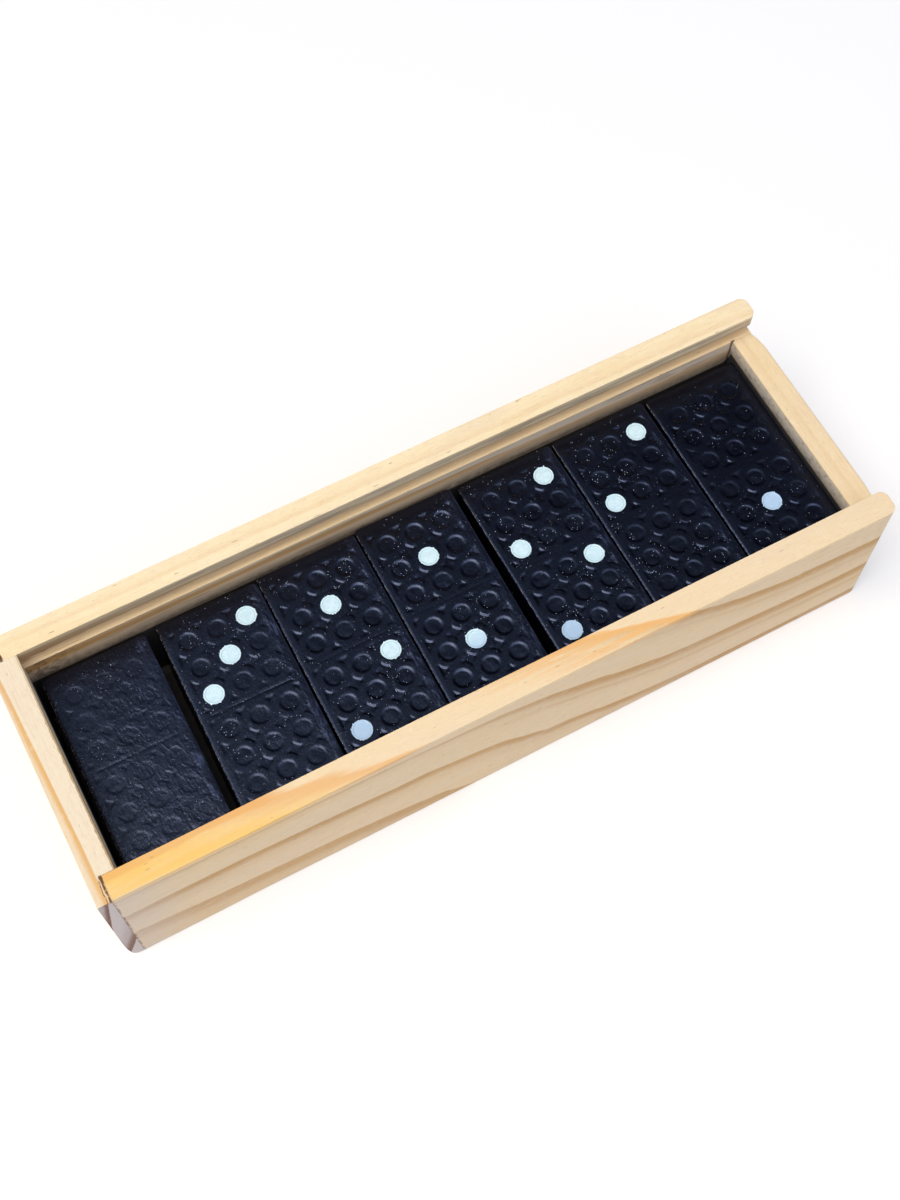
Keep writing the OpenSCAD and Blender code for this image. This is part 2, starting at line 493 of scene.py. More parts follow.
def far_board_marks(colour, x, y, z, smear, drift):
    """The far board's inside: painted shade on and under the lip, a bright-painted ledge, a
    streaky wall.
    """
    left = rise(x, -20, -76)
    into = y - WELL_SIDE
    inner_face = rise(into, 0.3, 0.1)
    # Painted shade in patches on the lip's inner face.
    lip = inner_face * rise(z - LIP, -0.3, 0.1) * rise(TOP - z, 0.2, 0.8)
    colour = mix(colour, rgb(0.46, 0.33, 0.24), lip * (0.05 + 0.6 * rise(drift, 0.35, 0.65)))
    # Painted shadow under the lip, in the groove.
    shadow_under_lip = rise(into, -0.2, 0.2) * rise(z - LIP, 0.8, 0.1) * rise(z - LIP, -1.2, -0.3)
    colour = mix(colour, rgb(0.25, 0.15, 0.08), shadow_under_lip * 0.6)
    warm = left * rise(into, 0.8, 0.2) * rise(TOP - z, 0.6, 1.4)
    colour = mix(colour, rgb(0.52, 0.29, 0.12), warm * 0.7)

    over = z - LEDGE
    ledge = rise(over, 0.3, 0.05) * rise(over, -0.3, -0.05)
    ledge = ledge * rise(into, -0.1, 0.05) * rise(into, 3, 2)
    # The ledge's own orange, painted at full brightness as light under the lip.
    colour = mix(colour, rgb(1.0, 0.76, 0.45), ledge)
    line = rise(drift, 0.50, 0.58) * rise(into, 0.3, 0.7) * (0.15 + 0.5 * left)
    colour = mix(colour, rgb(0.60, 0.34, 0.14), ledge * line)

    wall = inner_face * rise(over, 0.0, -0.3) * rise(z - TILES_TOP, -2.2, -1.6)
    from_middle = over + 2.3 + rise(x, -20, 75) * 2.6 - drift * 1.2
    brown = left * rise(from_middle, -1.1, -0.7)
    colour = mix(colour, mix(rgb(0.86, 0.70, 0.53), rgb(0.70, 0.39, 0.15), brown), wall * 0.9)
    band = rise(abs(from_middle), 1.3, 0.4)
    colour = mix(colour, rgb(0.66, 0.36, 0.11), wall * band * 0.9)
    colour = mix(colour, rgb(0.84, 0.58, 0.33), wall * rise(over, -2.0, -2.7) * 0.7)
    colour = mix(colour, rgb(0.30, 0.19, 0.10), wall * rise(drift, 0.54, 0.68) * 0.5)
    # Darker towards the left corner, in patches.
    left_corner_dark = wall * rise(x + WELL_END, 14, 1) * (0.2 + 0.6 * rise(smear, 0.4, 0.6))
    colour = mix(colour, rgb(0.20, 0.12, 0.06), left_corner_dark)
    # Painted shade in the wall's right inner corner.
    corner = rise(abs(x - WELL_END), 0.6, 0.2) * inner_face * rise(over, 0.3, 0.0)
    colour = mix(colour, rgb(0.13, 0.07, 0.04), corner * 0.9)
    return corner_filler(colour, x, y, z, smear)


print("lip at", LIP, "mm, ledge at", LEDGE, "mm")

# %% [markdown]
# ## Marks on the end boards
# A lid stops against the tall end. Its inner top edge gets painted shade, most in the
# near half. The low end's inner face is rubbed pale just over the tiles.
# With these the four kinds of pine can be mixed, each with its own two colours.

# %% Marks on the end boards
def tall_end_marks(colour, x, y, z, smear, drift):
    """The tall end's inner top edge with painted shade, darkest in the near half."""
    # Painted shade along the inner top edge, darker towards the near side.
    edge = rise(x + WELL_END + smear * 0.5, -0.15, 0.05) * rise(z - LIP, -1.2, 0.0)
    near = rise(y + smear * 12, 27, 8)
    colour = mix(colour, rgb(0.42, 0.28, 0.14), edge * (0.45 + 0.5 * near))
    return corner_filler(colour, x, y, z, smear)


def low_end_marks(colour, x, y, z, smear, drift):
    """The low end's inner face, bare and pale where the dominoes rub it."""
    face = rise(x - WELL_END, 0.5, 0.2) * rise(LEDGE - z, 0.1, 0.7)
    bare = face * rise(z - TILES_TOP, 0.6, 1.8) * (0.6 + 0.4 * smear)
    colour = mix(colour, rgb(0.99, 0.87, 0.71), bare)
    return mix(colour, rgb(0.40, 0.36, 0.33), face * rise(smear, 0.50, 0.66) * 0.55)


near_pine = pine(
    "pine_near_board", rgb(0.90, 0.70, 0.455), rgb(0.60, 0.33, 0.115), near_board_rings,
    "x", 1.0, near_board_marks)
far_pine = pine(
    "pine_far_board", rgb(1.0, 0.82, 0.53), rgb(0.82, 0.52, 0.25), far_board_rings,
    "x", 4.0, far_board_marks)
tall_pine = pine(
    "pine_tall_end", rgb(0.90, 0.755, 0.56), rgb(0.80, 0.46, 0.165), tall_board_rings,
    "y", 7.0, tall_end_marks)
low_pine = pine(
    "pine_low_end", rgb(0.925, 0.72, 0.45), rgb(0.78, 0.50, 0.24), low_board_rings,
    "y", 11.0, low_end_marks)

# %% [markdown]
# ## Shaping a board
# A board with a groove and a rabbet has the same outline along its whole length, so it
# is drawn as loops of points and skinned, like ribs in a hull. A loop can be changed on
# the way, which rounds the free end. The edges of the real boards are broken with
# sandpaper: each sharp outside edge gets a small round of three faces, and a Weighted
# Normal modifier keeps the flats flat.

# %% Skinning and sanding
def skin(loops):
    """A closed solid over equal loops of points, given in millimetres."""
    bm = bmesh.new()
    rows = [[bm.verts.new(Vector(p) * MM) for p in loop] for loop in loops]
    for one, two in zip(rows, rows[1:]):
        for i in range(len(one)):
            j = (i + 1) % len(one)
            bm.faces.new((one[i], one[j], two[j], two[i]))
    bm.faces.new(rows[0])
    bm.faces.new(rows[-1])
    bmesh.ops.remove_doubles(bm, verts=bm.verts, dist=1e-7)
    bmesh.ops.recalc_face_normals(bm, faces=bm.faces)
    return bm


def uneven(bm):
    """Moves each point a little, as a hand-held sander does, alike at every run."""
    for vert in bm.verts:
        spots = [vert.co * 55 + Vector((k, k, k)) for k in (2.3, 5.7, 9.1)]
        x, y, z = [noise.noise(spot) * 0.05 * MM for spot in spots]
        vert.co += Vector((0.3 * x, y, z))


def sand(bm, width, chosen=None):
    """Rounds the sharp outside edges whose middle point, in millimetres, is chosen."""
    edges = []
    for edge in bm.edges:
        middle = (edge.verts[0].co + edge.verts[1].co) / (2 * MM)
        sharp = edge.is_convex and edge.calc_face_angle(0) > math.radians(40)
        if sharp and (chosen is None or chosen(middle)):
            edges.append(edge)
    bmesh.ops.bevel(
        bm, geom=edges, offset=width * MM, offset_type="OFFSET", segments=3, profile=0.5,
        affect="EDGES", clamp_overlap=True)


def smooth_mesh(name, bm):
    """A mesh from what was built, shaded smooth."""
    mesh = bpy.data.meshes.new(name)
    bm.to_mesh(mesh)
    bm.free()
    mesh.polygons.foreach_set("use_smooth", [True] * len(mesh.polygons))
    return mesh


def board(name, bm, finish, node):
    """Makes the piece, puts it on the box and lets it stand for the CAD board."""
    mesh = smooth_mesh(name, bm)
    mesh.set_sharp_from_angle(angle=math.radians(42))
    mesh.materials.append(finish)
    piece = bpy.data.objects.new(name, mesh)
    bpy.context.scene.collection.objects.link(piece)
    flats = piece.modifiers.new("flats", "WEIGHTED_NORMAL")
    flats.keep_sharp = True
    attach(piece, "box")
    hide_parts(node)
    print(name, "has", len(mesh.polygons), "faces")


print("tools for boards: skin, uneven, sand, board")

# %% [markdown]
# ## The side boards
# Each side board carries the lid groove: a ledge, a slot and a lip over it. At the open
# end both corners of the lip are rounded over, so that a lid is easy to start, and the
# rest of the end on the outside only. The loops lie closer together there. The edges
# that a hand meets are sanded most, those at the joint with the lap hardly at all.

# %% Side boards
NOSE = 1.6
NOSE_START = END - 0.8 - NOSE


def side_loop(x, side):
    """The outline of a side board at x; side is -1 for the near board, 1 for the far."""
    turn = max(0, x - NOSE_START)
    back = NOSE - math.sqrt(max(0, NOSE ** 2 - turn ** 2))
    outer = SIDE - back
    lip = WELL_SIDE + back
    groove = WELL_SIDE + GROOVE_DEPTH
    outline = [
        (WELL_SIDE, FLOOR), (WELL_SIDE, LEDGE), (groove, LEDGE), (groove, LIP), (lip, LIP),
        (lip, TOP), (outer, TOP), (outer, 0), (PANEL_SIDE, 0), (PANEL_SIDE, FLOOR)]
    return [(x, side * y, z) for y, z in outline]


def side_board(name, side, finish, node):
    stations = [LAP + GAP] + [-70 + 9.7 * i for i in range(15)]
    stations += [NOSE_START + turn for turn in (0, 0.5, 0.9, 1.2, 1.4, 1.53, NOSE)]
    bm = skin([side_loop(x, side) for x in stations])
    uneven(bm)
    sand(bm, 0.2, lambda p: p.x > LAP + 0.5 and abs(p.y) < WELL_SIDE + 0.5 and p.z < LEDGE + 1)
    sand(bm, 0.45, lambda p: p.x > LAP + 0.5 and (abs(p.y) > WELL_SIDE + 0.5 or p.z > LEDGE + 1))
    sand(bm, 0.1, lambda p: p.x <= LAP + 0.5)
    board(name, bm, finish, node)


side_board("near_side_board", -1, near_pine, "side_board_front")
side_board("far_side_board", 1, far_pine, "side_board_back")

# %% [markdown]
# ## The tall end board
# This end is stepped: a thin lap covers the ends of the side boards, and the rest fits
# between them, with the stop groove for the lid across it. Seen from above it is a T, so
# it is skinned upwards from T-shaped loops that step back at the groove. Its outer foot
# is worn: the lap leans in a little near the floor and its lowest edge is quite round.

# %% Tall end board
def tall_loop(z, inner):
    """The T seen from above, at height z, with its inner face at `inner`."""
    fit = WELL_SIDE - GAP
    return [
        (-END, -SIDE, z), (LAP, -SIDE, z), (LAP, -fit, z), (inner, -fit, z),
        (inner, fit, z), (LAP, fit, z), (LAP, SIDE, z), (-END, SIDE, z)]


stop_groove = -WELL_END - GROOVE_DEPTH
levels = [(0, -PANEL_END), (FLOOR, -PANEL_END)]
levels += [(z, -WELL_END) for z in (FLOOR, 5, 8, 14, LEDGE)]
levels += [(LEDGE, stop_groove), (LIP, stop_groove), (LIP, -WELL_END), (TOP, -WELL_END)]
bm = skin([tall_loop(z, inner) for z, inner in levels])
uneven(bm)
WORN_UP_TO, WORN_BY = 8, 0.8
for vert in bm.verts:
    if vert.co.x < (0.5 - END) * MM:
        vert.co.x += WORN_BY * MM * max(0, 1 - vert.co.z / (WORN_UP_TO * MM)) ** 2
sand(bm, 1.4, lambda p: p.x < 1.5 - END and p.z < 0.5 and abs(p.y) < 1)
sand(bm, 0.4, lambda p: p.x < 1.8 - END or (p.x > LAP + 0.5 and p.z > 20))
sand(bm, 0.1, lambda p: p.z > TOP - 1)
board("tall_end_board", bm, tall_pine, "end_board_tall")

# %% [markdown]
# ## The low end board
# The low end is a plain bar with a rabbet, level with the ledge, so that a lid passes
# over it. It is skinned across the box, with a few closer rows where its edge wavers
# most. Its outer corners are sanded back in a curve, more towards the side boards.

# %% Low end board
def low_loop(y):
    """The outline of the low end board at y."""
    return [
        (WELL_END, y, FLOOR), (PANEL_END, y, FLOOR), (PANEL_END, y, 0),
        (END, y, 0), (END, y, LEDGE), (WELL_END, y, LEDGE)]


fit = WELL_SIDE - GAP
rows = [-fit, -20, -19, -17, -13, -9, -5, -4.2, -3.7, -3.2, -2.7, -2.2, -1.7, -1, 3, 8]
rows += [13, 17, 19, 20, fit]
bm = skin([low_loop(y) for y in rows])
uneven(bm)
ROUND_WIDTH, ROUND_BY = 4.5, 0.8
for vert in bm.verts:
    x, y, _ = vert.co / MM
    if x > END - 1:
        near_corner = max(0, (abs(y) - WELL_SIDE + ROUND_WIDTH) / ROUND_WIDTH)
        vert.co.x -= ROUND_BY * MM * near_corner ** 2
sand(bm, 0.4, lambda p: abs(p.y) < WELL_SIDE - 0.1 and (p.z > 20 or p.z < 0.5))
sand(bm, 0.1, lambda p: abs(p.y) > WELL_SIDE - 0.1 and p.z > 20)
board("low_end_board", bm, low_pine, "end_board_low")

# %% [markdown]
# ## The bottom panel
# The floor of the box is a thin sheet of plywood let into rabbets. Its face veneer is
# peeled round the log, which gives broad lazy waves instead of straight bands. Its top
# is painted almost black as shade, so the gaps between the dominoes are dark.

# %% Bottom panel
def veneer(name):
    finish, shader = new_finish(name)
    place = place_mm()
    flow = cloud(place, (0.02, 0.09, 0.09), 2, 0.5, 17)
    waves = (flow * 9).maths("FRACT")
    lines = Wire.new("ValToRGB", {"stops": FINE_BAND}, {0: waves})
    fibre = cloud(place, (0.12, 3.5, 3.5), 4, 0.6, 18)
    colour = mix(rgb(0.56, 0.40, 0.25), rgb(0.42, 0.27, 0.15), lines * 0.5)
    colour = mix(colour, rgb(0.28, 0.17, 0.09), rise(fibre, 0.5, 0.8) * 0.45)
    smudge = cloud(place, (0.3, 0.3, 0.3), 3, 0.6, 19)
    # Painted shade: the top of the panel, seen only between the dominoes, is almost black.
    shaded_top = rise(split(place)[2], FLOOR - 0.3, FLOOR - 0.1) * (0.9 + 0.1 * smudge)
    colour = mix(colour, rgb(0.010, 0.009, 0.010), shaded_top)
    Wire.plug(shader.inputs["Base Color"], colour)
    Wire.plug(shader.inputs["Roughness"], 0.6 + 0.2 * fibre)
    bump(shader, fibre, 0.0001, 0.3)
    return finish


loops = []
end, side, top = PANEL_END - GAP, PANEL_SIDE - GAP, FLOOR - 0.02
for x in [-end] + [-60 + 20 * i for i in range(7)] + [end]:
    loops.append([(x, -side, 0), (x, side, 0), (x, side, top), (x, -side, top)])
bm = skin(loops)
sand(bm, 0.2)
board("floor_panel", bm, veneer("plywood_veneer"), "bottom_panel")

# %% [markdown]
# ## The relief of a domino
# The dominoes are wooden tiles pressed in a steel die before they are lacquered. Each
# half has nine dished rounds in a frame, and where four rounds meet lies a small
# star-shaped hollow. The relief could be a bump map, but the sheen of black lacquer
# shows every slope, so it is real: a height for every point, from the distance to the
# nearest round.

# %% Relief
TILE_LENGTH, TILE_WIDTH, TILE_THICK = 40.2, 19.7, 5.0
TILE_CORNER = 0.8
PITCH, HALF = 5.6, 9.15
FRAME_SIDE, FRAME_END = 8.55, 8.3
DISH, STAR, SCORE = 0.14, 0.15, 0.022


def smooth(value, start, end):
    """0 at start, 1 at end, smooth in between, for plain numbers."""
    share = min(1, max(0, (value - start) / (end - start)))
    return share * share * (3 - 2 * share)


def from_rim(x, y):
    """Distance to the nearest side of the tile."""
    return min(TILE_WIDTH / 2 - abs(x), TILE_LENGTH / 2 - abs(y))


def rim_fall(x, y):
    """How far the face falls away towards the rim."""
    return 0.05 * (1 - smooth(from_rim(x, y), 0.3, 1.3))


def from_frame(x, y, end):
    """Distance to the frame round the half whose middle is at `end`."""
    return min(FRAME_SIDE - abs(x), FRAME_END - abs(y - end))


def nearest_round(x, y):
    """Distance to the middle of the nearest dished round."""
    across = PITCH * min(1, max(-1, round(x / PITCH)))
    end = HALF if y >= 0 else -HALF
    down = end + PITCH * min(1, max(-1, round((y - end) / PITCH)))
    return math.hypot(x - across, y - down)


def pressed(x, y):
    """How far the die pressed the face down at x, y: least on the frame, more in a dish."""
    reach = nearest_round(x, y)
    inside = from_frame(x, abs(y), HALF)
    dish = DISH * (1 - smooth(reach, 1.35, 1.95))
    star = STAR * smooth(reach, 2.85, 3.25) * smooth(inside, 0, 0.45)
    score = SCORE * (1 - smooth(abs(y), 0.05, 0.25)) * (1 - smooth(abs(x), 7.6, 7.9))
    return 0.02 + dish + star + score + rim_fall(x, y)


in_dish, in_star = pressed(0, HALF), pressed(PITCH / 2, HALF + PITCH / 2)
print("pressed in a dish", round(in_dish, 3), "mm, in a star", round(in_star, 3), "mm")

# %% [markdown]
# ## Points for the relief
# A grid fine enough for the dishes would need far too many points. Instead points are
# set in rings round each dish, closely in each star, and in lines along the frame and
# the middle line, where the slopes are, and few lie where the face is flat.

# %% Relief points
DISH_RINGS = (0.6, 1.15, 1.3, 1.42, 1.55, 1.68, 1.8, 1.95, 2.15, 2.7)
FRAME_LINES = (-0.15, 0, 0.15, 0.3, 0.45, 0.6)
MIDDLE_LINES = (-0.25, -0.15, -0.05, 0.05, 0.15, 0.25)


def ring(x, y, reach, count):
    """Points on a circle."""
    turns = [math.tau * k / count for k in range(count)]
    return [(x + reach * math.cos(a), y + reach * math.sin(a)) for a in turns]


def spaced(outline, step):
    """The outline with more points, no further than step apart."""
    points = []
    for (ax, ay), (bx, by) in zip(outline, outline[1:] + outline[:1]):
        parts = max(1, math.ceil(math.hypot(bx - ax, by - ay) / step))
        for k in range(parts):
            points.append((ax + (bx - ax) * k / parts, ay + (by - ay) * k / parts))
    return points


def star_points(x, y, end):
    """Close points in the star between rounds, kept inside the frame."""
    points = []
    for k in range(-7, 8):
        for m in range(-7, 8):
            px, py = x + k * 0.17, y + m * 0.17
            if from_frame(px, py, end) > 0.65 and nearest_round(px, py) > 2.75:
                points.append((px, py))
    return points


def half_points(end):
    """All points of the half whose middle is at `end`."""
    points = []
    for i in (-1, 0, 1):
        for j in (-1, 0, 1):
            x, y = i * PITCH, end + j * PITCH
            points.append((x, y))
            for reach in DISH_RINGS:
                points += ring(x, y, reach, 28)
    for i in (-1.5, -0.5, 0.5, 1.5):
        for j in (-1.5, -0.5, 0.5, 1.5):
            points += star_points(i * PITCH, end + j * PITCH, end)
    for inset in FRAME_LINES:
        a, b = FRAME_SIDE - inset, FRAME_END - inset
        square = [(-a, end - b), (a, end - b), (a, end + b), (-a, end + b)]
        points += spaced(square, 0.5)
    return points


def relief_points():
    """All points inside the rim of a face."""
    points = half_points(-HALF) + half_points(HALF)
    for y in MIDDLE_LINES:
        points += [(-7.9 + 0.5 * k, y) for k in range(32)]
    return points


print("the relief has", len(relief_points()), "points")

# %% [markdown]
# ## One blank tile
# A Delaunay triangulation joins the points of the face. The sides are loops that round
# off at the top and the bottom. Two numbers are stored for the finish to read: how deep
# a point is pressed, and the rim it is on, 1 for the worn left one, -1 for the right.

# %% Blank
RIM = 0.42
ON_FACE = 4.6


def rounded_plan(inset, turns=4):
    """The outline of a tile seen from above, moved in by inset."""
    points = []
    r = TILE_CORNER - inset
    for cx, cy, start in ((1, 1, 0), (-1, 1, 90), (-1, -1, 180), (1, -1, 270)):
        for k in range(turns + 1):
            a = math.radians(start + 90 * k / turns)
            x = cx * (TILE_WIDTH / 2 - inset - r) + r * math.cos(a)
            y = cy * (TILE_LENGTH / 2 - inset - r) + r * math.sin(a)
            points.append((x, y))
    return points


def moved_out(rim, inset):
    """The rim moved out until it lies inset inside the tile's full outline."""
    straight_x, straight_y = TILE_WIDTH / 2 - TILE_CORNER, TILE_LENGTH / 2 - TILE_CORNER
    moved = []
    for x, y in rim:
        cx = max(-straight_x, min(straight_x, x))
        cy = max(-straight_y, min(straight_y, y))
        way = Vector((x - cx, y - cy)).normalized()
        moved.append((x + way.x * (RIM - inset), y + way.y * (RIM - inset)))
    return moved


def blank_mesh():
    """A tile's face, sides and underside, in millimetres, standing on zero."""
    bm = bmesh.new()
    rim = spaced(rounded_plan(RIM), 0.5)
    inner = [(x * 0.985, y * 0.993) for x, y in rim]
    flat = [Vector(p) for p in rim + inner + relief_points()]
    loop = [(i, (i + 1) % len(rim)) for i in range(len(rim))]
    points, _, faces, *_ = geometry.delaunay_2d_cdt(flat, loop, [], 1, 1e-5)
    top = [bm.verts.new((p.x, p.y, TILE_THICK - pressed(p.x, p.y))) for p in points]
    for face in faces:
        bm.faces.new([top[i] for i in face])
    rows = [top[:len(rim)]]
    for inset, z in [
            (0.26, 4.885), (0.12, 4.79), (0.03, 4.65), (0.0, 4.5), (0.0, 4.4), (0.0, 0.5),
            (0.0, 0.4), (0.05, 0.2), (0.18, 0.06), (0.36, 0.0), (0.5, 0.0)]:
        rows.append([bm.verts.new((x, y, z)) for x, y in moved_out(rim, inset)])
    for one, two in zip(rows, rows[1:]):
        for i in range(len(one)):
            j = (i + 1) % len(one)
            bm.faces.new((one[i], two[i], two[j], one[j]))
    bm.faces.new(rows[-1])
    bmesh.ops.recalc_face_normals(bm, faces=bm.faces)
    return bm


blank = smooth_mesh("domino_blank", blank_mesh())
depth_mark = blank.attributes.new("pressed", "FLOAT", "POINT")
edge_mark = blank.attributes.new("edge", "FLOAT", "POINT")
for vert in blank.vertices:
    x, y, z = vert.co
    depth_mark.data[vert.index].value = pressed(x, y) / 0.17 if from_rim(x, y) > 1.3 else 0
    on_rim = z > ON_FACE and abs(y) < TILE_LENGTH / 2 - 0.5
    left_rim = on_rim and 0.05 < TILE_WIDTH / 2 + x < 0.2
    right_rim = on_rim and TILE_WIDTH / 2 - x < 0.4
    edge_mark.data[vert.index].value = left_rim - right_rim
print("a blank tile has", len(blank.vertices), "points")

# %% [markdown]
# ## Black lacquer
# The tiles are dipped in blue-black lacquer. Its gloss varies, pale dust sits mostly in
# the dishes, the top edge on the left is rubbed down to the wood in places, and the
# right side is scuffed. Where it is dull a bluish haze is added, partly a dust film and
# partly a painted sheen. The colour is almost black and what the eye reads is the sheen,
# so the roughness and the fine bump matter more.

# %% Scuffs and dust
def scuffs(place, film):
    """Short scratches along a tile, in patches, where the film is above 1."""
    scratch = cloud(place, (2.6, 0.5, 2.6), 3, 0.65, 51)
    scuff = rise(film, 1.05, 1.7) * rise(scratch, 0.48, 0.62)
    return scuff * rise(cloud(place, (0.35, 0.22, 0.35), 2, 0.5, 57), 0.47, 0.60)


def dust_specks(place, pressed_in, film):
    """Pale specks in patches: more in the dishes, fewer on the last stack, faint on film."""
    speck = Wire.new("TexVoronoi", None, {"Vector": place, "Scale": 3.4})
    lot = split(Wire(speck.socket.node.outputs["Color"]))[0]
    patch = cloud(place, (0.16, 0.16, 0.16), 2, 0.5, 27)
    crowd = 0.085 * rise(patch, 0.4, 0.62) + 0.12 * pressed_in * rise(patch, 0.46, 0.64)
    crowd = crowd * (1 - 0.55 * rise(split(place)[0], 51, 53))
    return rise(speck, 0.32, 0.14) * rise(lot + crowd, 0.965, 1.08) * (1 - film * 0.6)


print("scuffs and dust ready")

# %% Lacquer finish
def lacquer(name):
    finish, shader = new_finish(name)
    place = place_mm()
    edge = mark("edge")
    scuff = scuffs(place, mark("film"))
    film = mark("film").maths("MINIMUM", 1.0)
    pool = cloud(place, (0.12, 0.12, 0.12), 2, 0.5, 21)
    skin_of_paint = cloud(place, (1.7, 1.3, 1.7), 5, 0.65, 23)
    colour = mix(rgb(0.0011, 0.0012, 0.0032), rgb(0.0018, 0.0021, 0.0052), rise(pool, 0.4, 0.65))
    # A dull film of dust with a painted bluish sheen, most on the first stack.
    dull_film_and_sheen = film * film * (0.4 + 0.6 * rise(pool, 0.35, 0.6)) * (0.4 + 1.2 * skin_of_paint)
    colour = mix(colour, rgb(0.007, 0.010, 0.033), dull_film_and_sheen * 0.08)
    colour = mix(colour, rgb(0.050, 0.065, 0.13), scuff * 0.6)
    dust = dust_specks(place, mark("pressed"), film)
    colour = mix(colour, rgb(0.68, 0.80, 0.95), dust)
    chips = cloud(place, (1.7, 1.7, 1.7), 3, 0.7, 31)
    top_layer = rise(split(place)[2] - TILES_TOP, -1.0, -0.5)
    rub = rise(edge, 0.3, 0.9) * rise(chips, 0.47, 0.57) * top_layer
    colour = mix(colour, rgb(0.34, 0.28, 0.23), rub * 0.5)
    Wire.plug(shader.inputs["Base Color"], colour)
    dull = 0.15 + 0.16 * skin_of_paint + 0.3 * dust + 0.06 * film
    Wire.plug(shader.inputs["Roughness"], dull + 0.5 * rise(edge, -0.3, -0.9))
    grain = cloud(place, (4, 0.7, 4), 3, 0.6, 33)
    height = (skin_of_paint + 0.35 * grain) * (0.27 + 0.1 * film * film) + 0.3 * dust
    crease = abs(cloud(place, (0.75, 0.42, 0.75), 3, 0.55, 37) - 0.5)
    crease = rise(crease, 0.12, 0.0) * film * film
    bump(shader, height + crease * 0.2, 0.00013, 0.9)
    shader.inputs["Specular IOR Level"].default_value = 0.5
    shader.inputs["Specular Tint"].default_value = rgb(0.64, 0.70, 1.0)
    print(name, "has", len(Wire.bench.nodes), "nodes")
    return finish


black_lacquer = lacquer("black_lacquer")

# %% [markdown]
# ## White pips
# A pip is thick bluish-white paint put down with a round pad over a dished round. It is
# painted bluer towards the near side of the box, as shade. Where it sinks in at the wall
# of the dish and at its edge it is thin and darker. A number stored with each dab, its
# reach, says how far a point is from the middle.

# %% Pip finish
def pip_paint(name):
    finish, shader = new_finish(name)
    place = place_mm()
    reach = mark("reach")
    streak = cloud(place, (1.2, 1.2, 1.2), 3, 0.6, 41)
    colour = mix(rgb(0.62, 0.82, 0.90), rgb(0.72, 0.91, 0.96), rise(streak, 0.35, 0.65))
    x, y, _ = split(place)
    # Painted shade: bluer towards the near side of the box.
    colour = mix(colour, rgb(0.46, 0.64, 0.88), rise(y - x * 0.05, -6, -12) * 0.9)
    spots = cloud(place, (3.5, 3.5, 3.5), 2, 0.6, 43)
    colour = mix(colour, rgb(0.34, 0.52, 0.62), rise(spots, 0.56, 0.74) * 0.45)
    thin = rise(reach, 0.75, 0.79) * rise(reach, 0.85, 0.81)
    colour = mix(colour, rgb(0.30, 0.40, 0.46), thin * rise(streak, 0.38, 0.56) * 0.65)
    colour = mix(colour, rgb(0.36, 0.50, 0.57), rise(reach, 0.95, 1.0) * 0.6)
    Wire.plug(shader.inputs["Base Color"], colour)
    Wire.plug(shader.inputs["Roughness"], 0.45 + 0.2 * streak)
    bump(shader, streak, 0.00008, 0.3)
    print(name, "has", len(Wire.bench.nodes), "nodes")
    return finish


white_paint = pip_paint("white_pip_paint")

# %% [markdown]
# ## Dabs of paint
# A texture could show a pip flat. Here each dab is a thin round of paint, a little wider
# than the dish, that follows the relief. Its edge is slightly ragged, with a few drops
# that ran out further, and it dips where it crosses the wall of the dish.

# %% Pip dabs
DAB = 1.9
AROUND = 72


def pip_places(count):
    """Where the pips of one half lie on its grid of three by three."""
    places = [(0, 0)] if count % 2 else []
    if count > 1:
        places += [(1, 1), (-1, -1)]
    if count > 3:
        places += [(-1, 1), (1, -1)]
    if count == 6:
        places += [(-1, 0), (1, 0)]
    return places


def dab(bm, reach_mark, x, y, chance):
    """One round of paint at x, y on a tile's face."""
    ragged = [1 + chance.uniform(-0.012, 0.012) for _ in range(AROUND)]
    for _ in range(5):
        ragged[chance.randrange(AROUND)] += chance.uniform(0.03, 0.13)
    middle = bm.verts.new((x, y, TILE_THICK - pressed(x, y) + 0.02))
    rows = []
    for reach in (0.7, 1.1, 1.22, 1.35, 1.48, 1.6, 1.74, 1.86, DAB):
        lift = 0.02 if reach < DAB else -0.02
        if 1.4 < reach < 1.55:
            lift = 0.005
        row = []
        for k in range(AROUND):
            a = math.tau * k / AROUND
            r = reach * (1 + (ragged[k] - 1) * smooth(reach, 1.5, DAB))
            px, py = x + r * math.cos(a), y + r * math.sin(a)
            row.append(bm.verts.new((px, py, TILE_THICK - pressed(px, py) + lift)))
            row[-1][reach_mark] = reach / DAB
        rows.append(row)
    for k in range(AROUND):
        j = (k + 1) % AROUND
        bm.faces.new((middle, rows[0][k], rows[0][j]))
        for one, two in zip(rows, rows[1:]):
            bm.faces.new((one[k], two[k], two[j], one[j]))


def pips_mesh(name, far, near, chance):
    """All the paint of one tile."""
    bm = bmesh.new()
    reach_mark = bm.verts.layers.float.new("reach")
    for count, end in ((far, HALF), (near, -HALF)):
        for i, j in pip_places(count):
            dab(bm, reach_mark, i * PITCH, end + j * PITCH, chance)
    return smooth_mesh(name, bm)


print("a five has pips at", pip_places(5))

# %% [markdown]
# ## Lacquer in the relief
# A coat of lacquer fills the relief, some places more, so the rings are crisp on some
# tiles and nearly gone on others. The paint of the pips is moved the same way, so it
# stays on the face. A third number stored with each tile, its film, says how dull a
# point is.

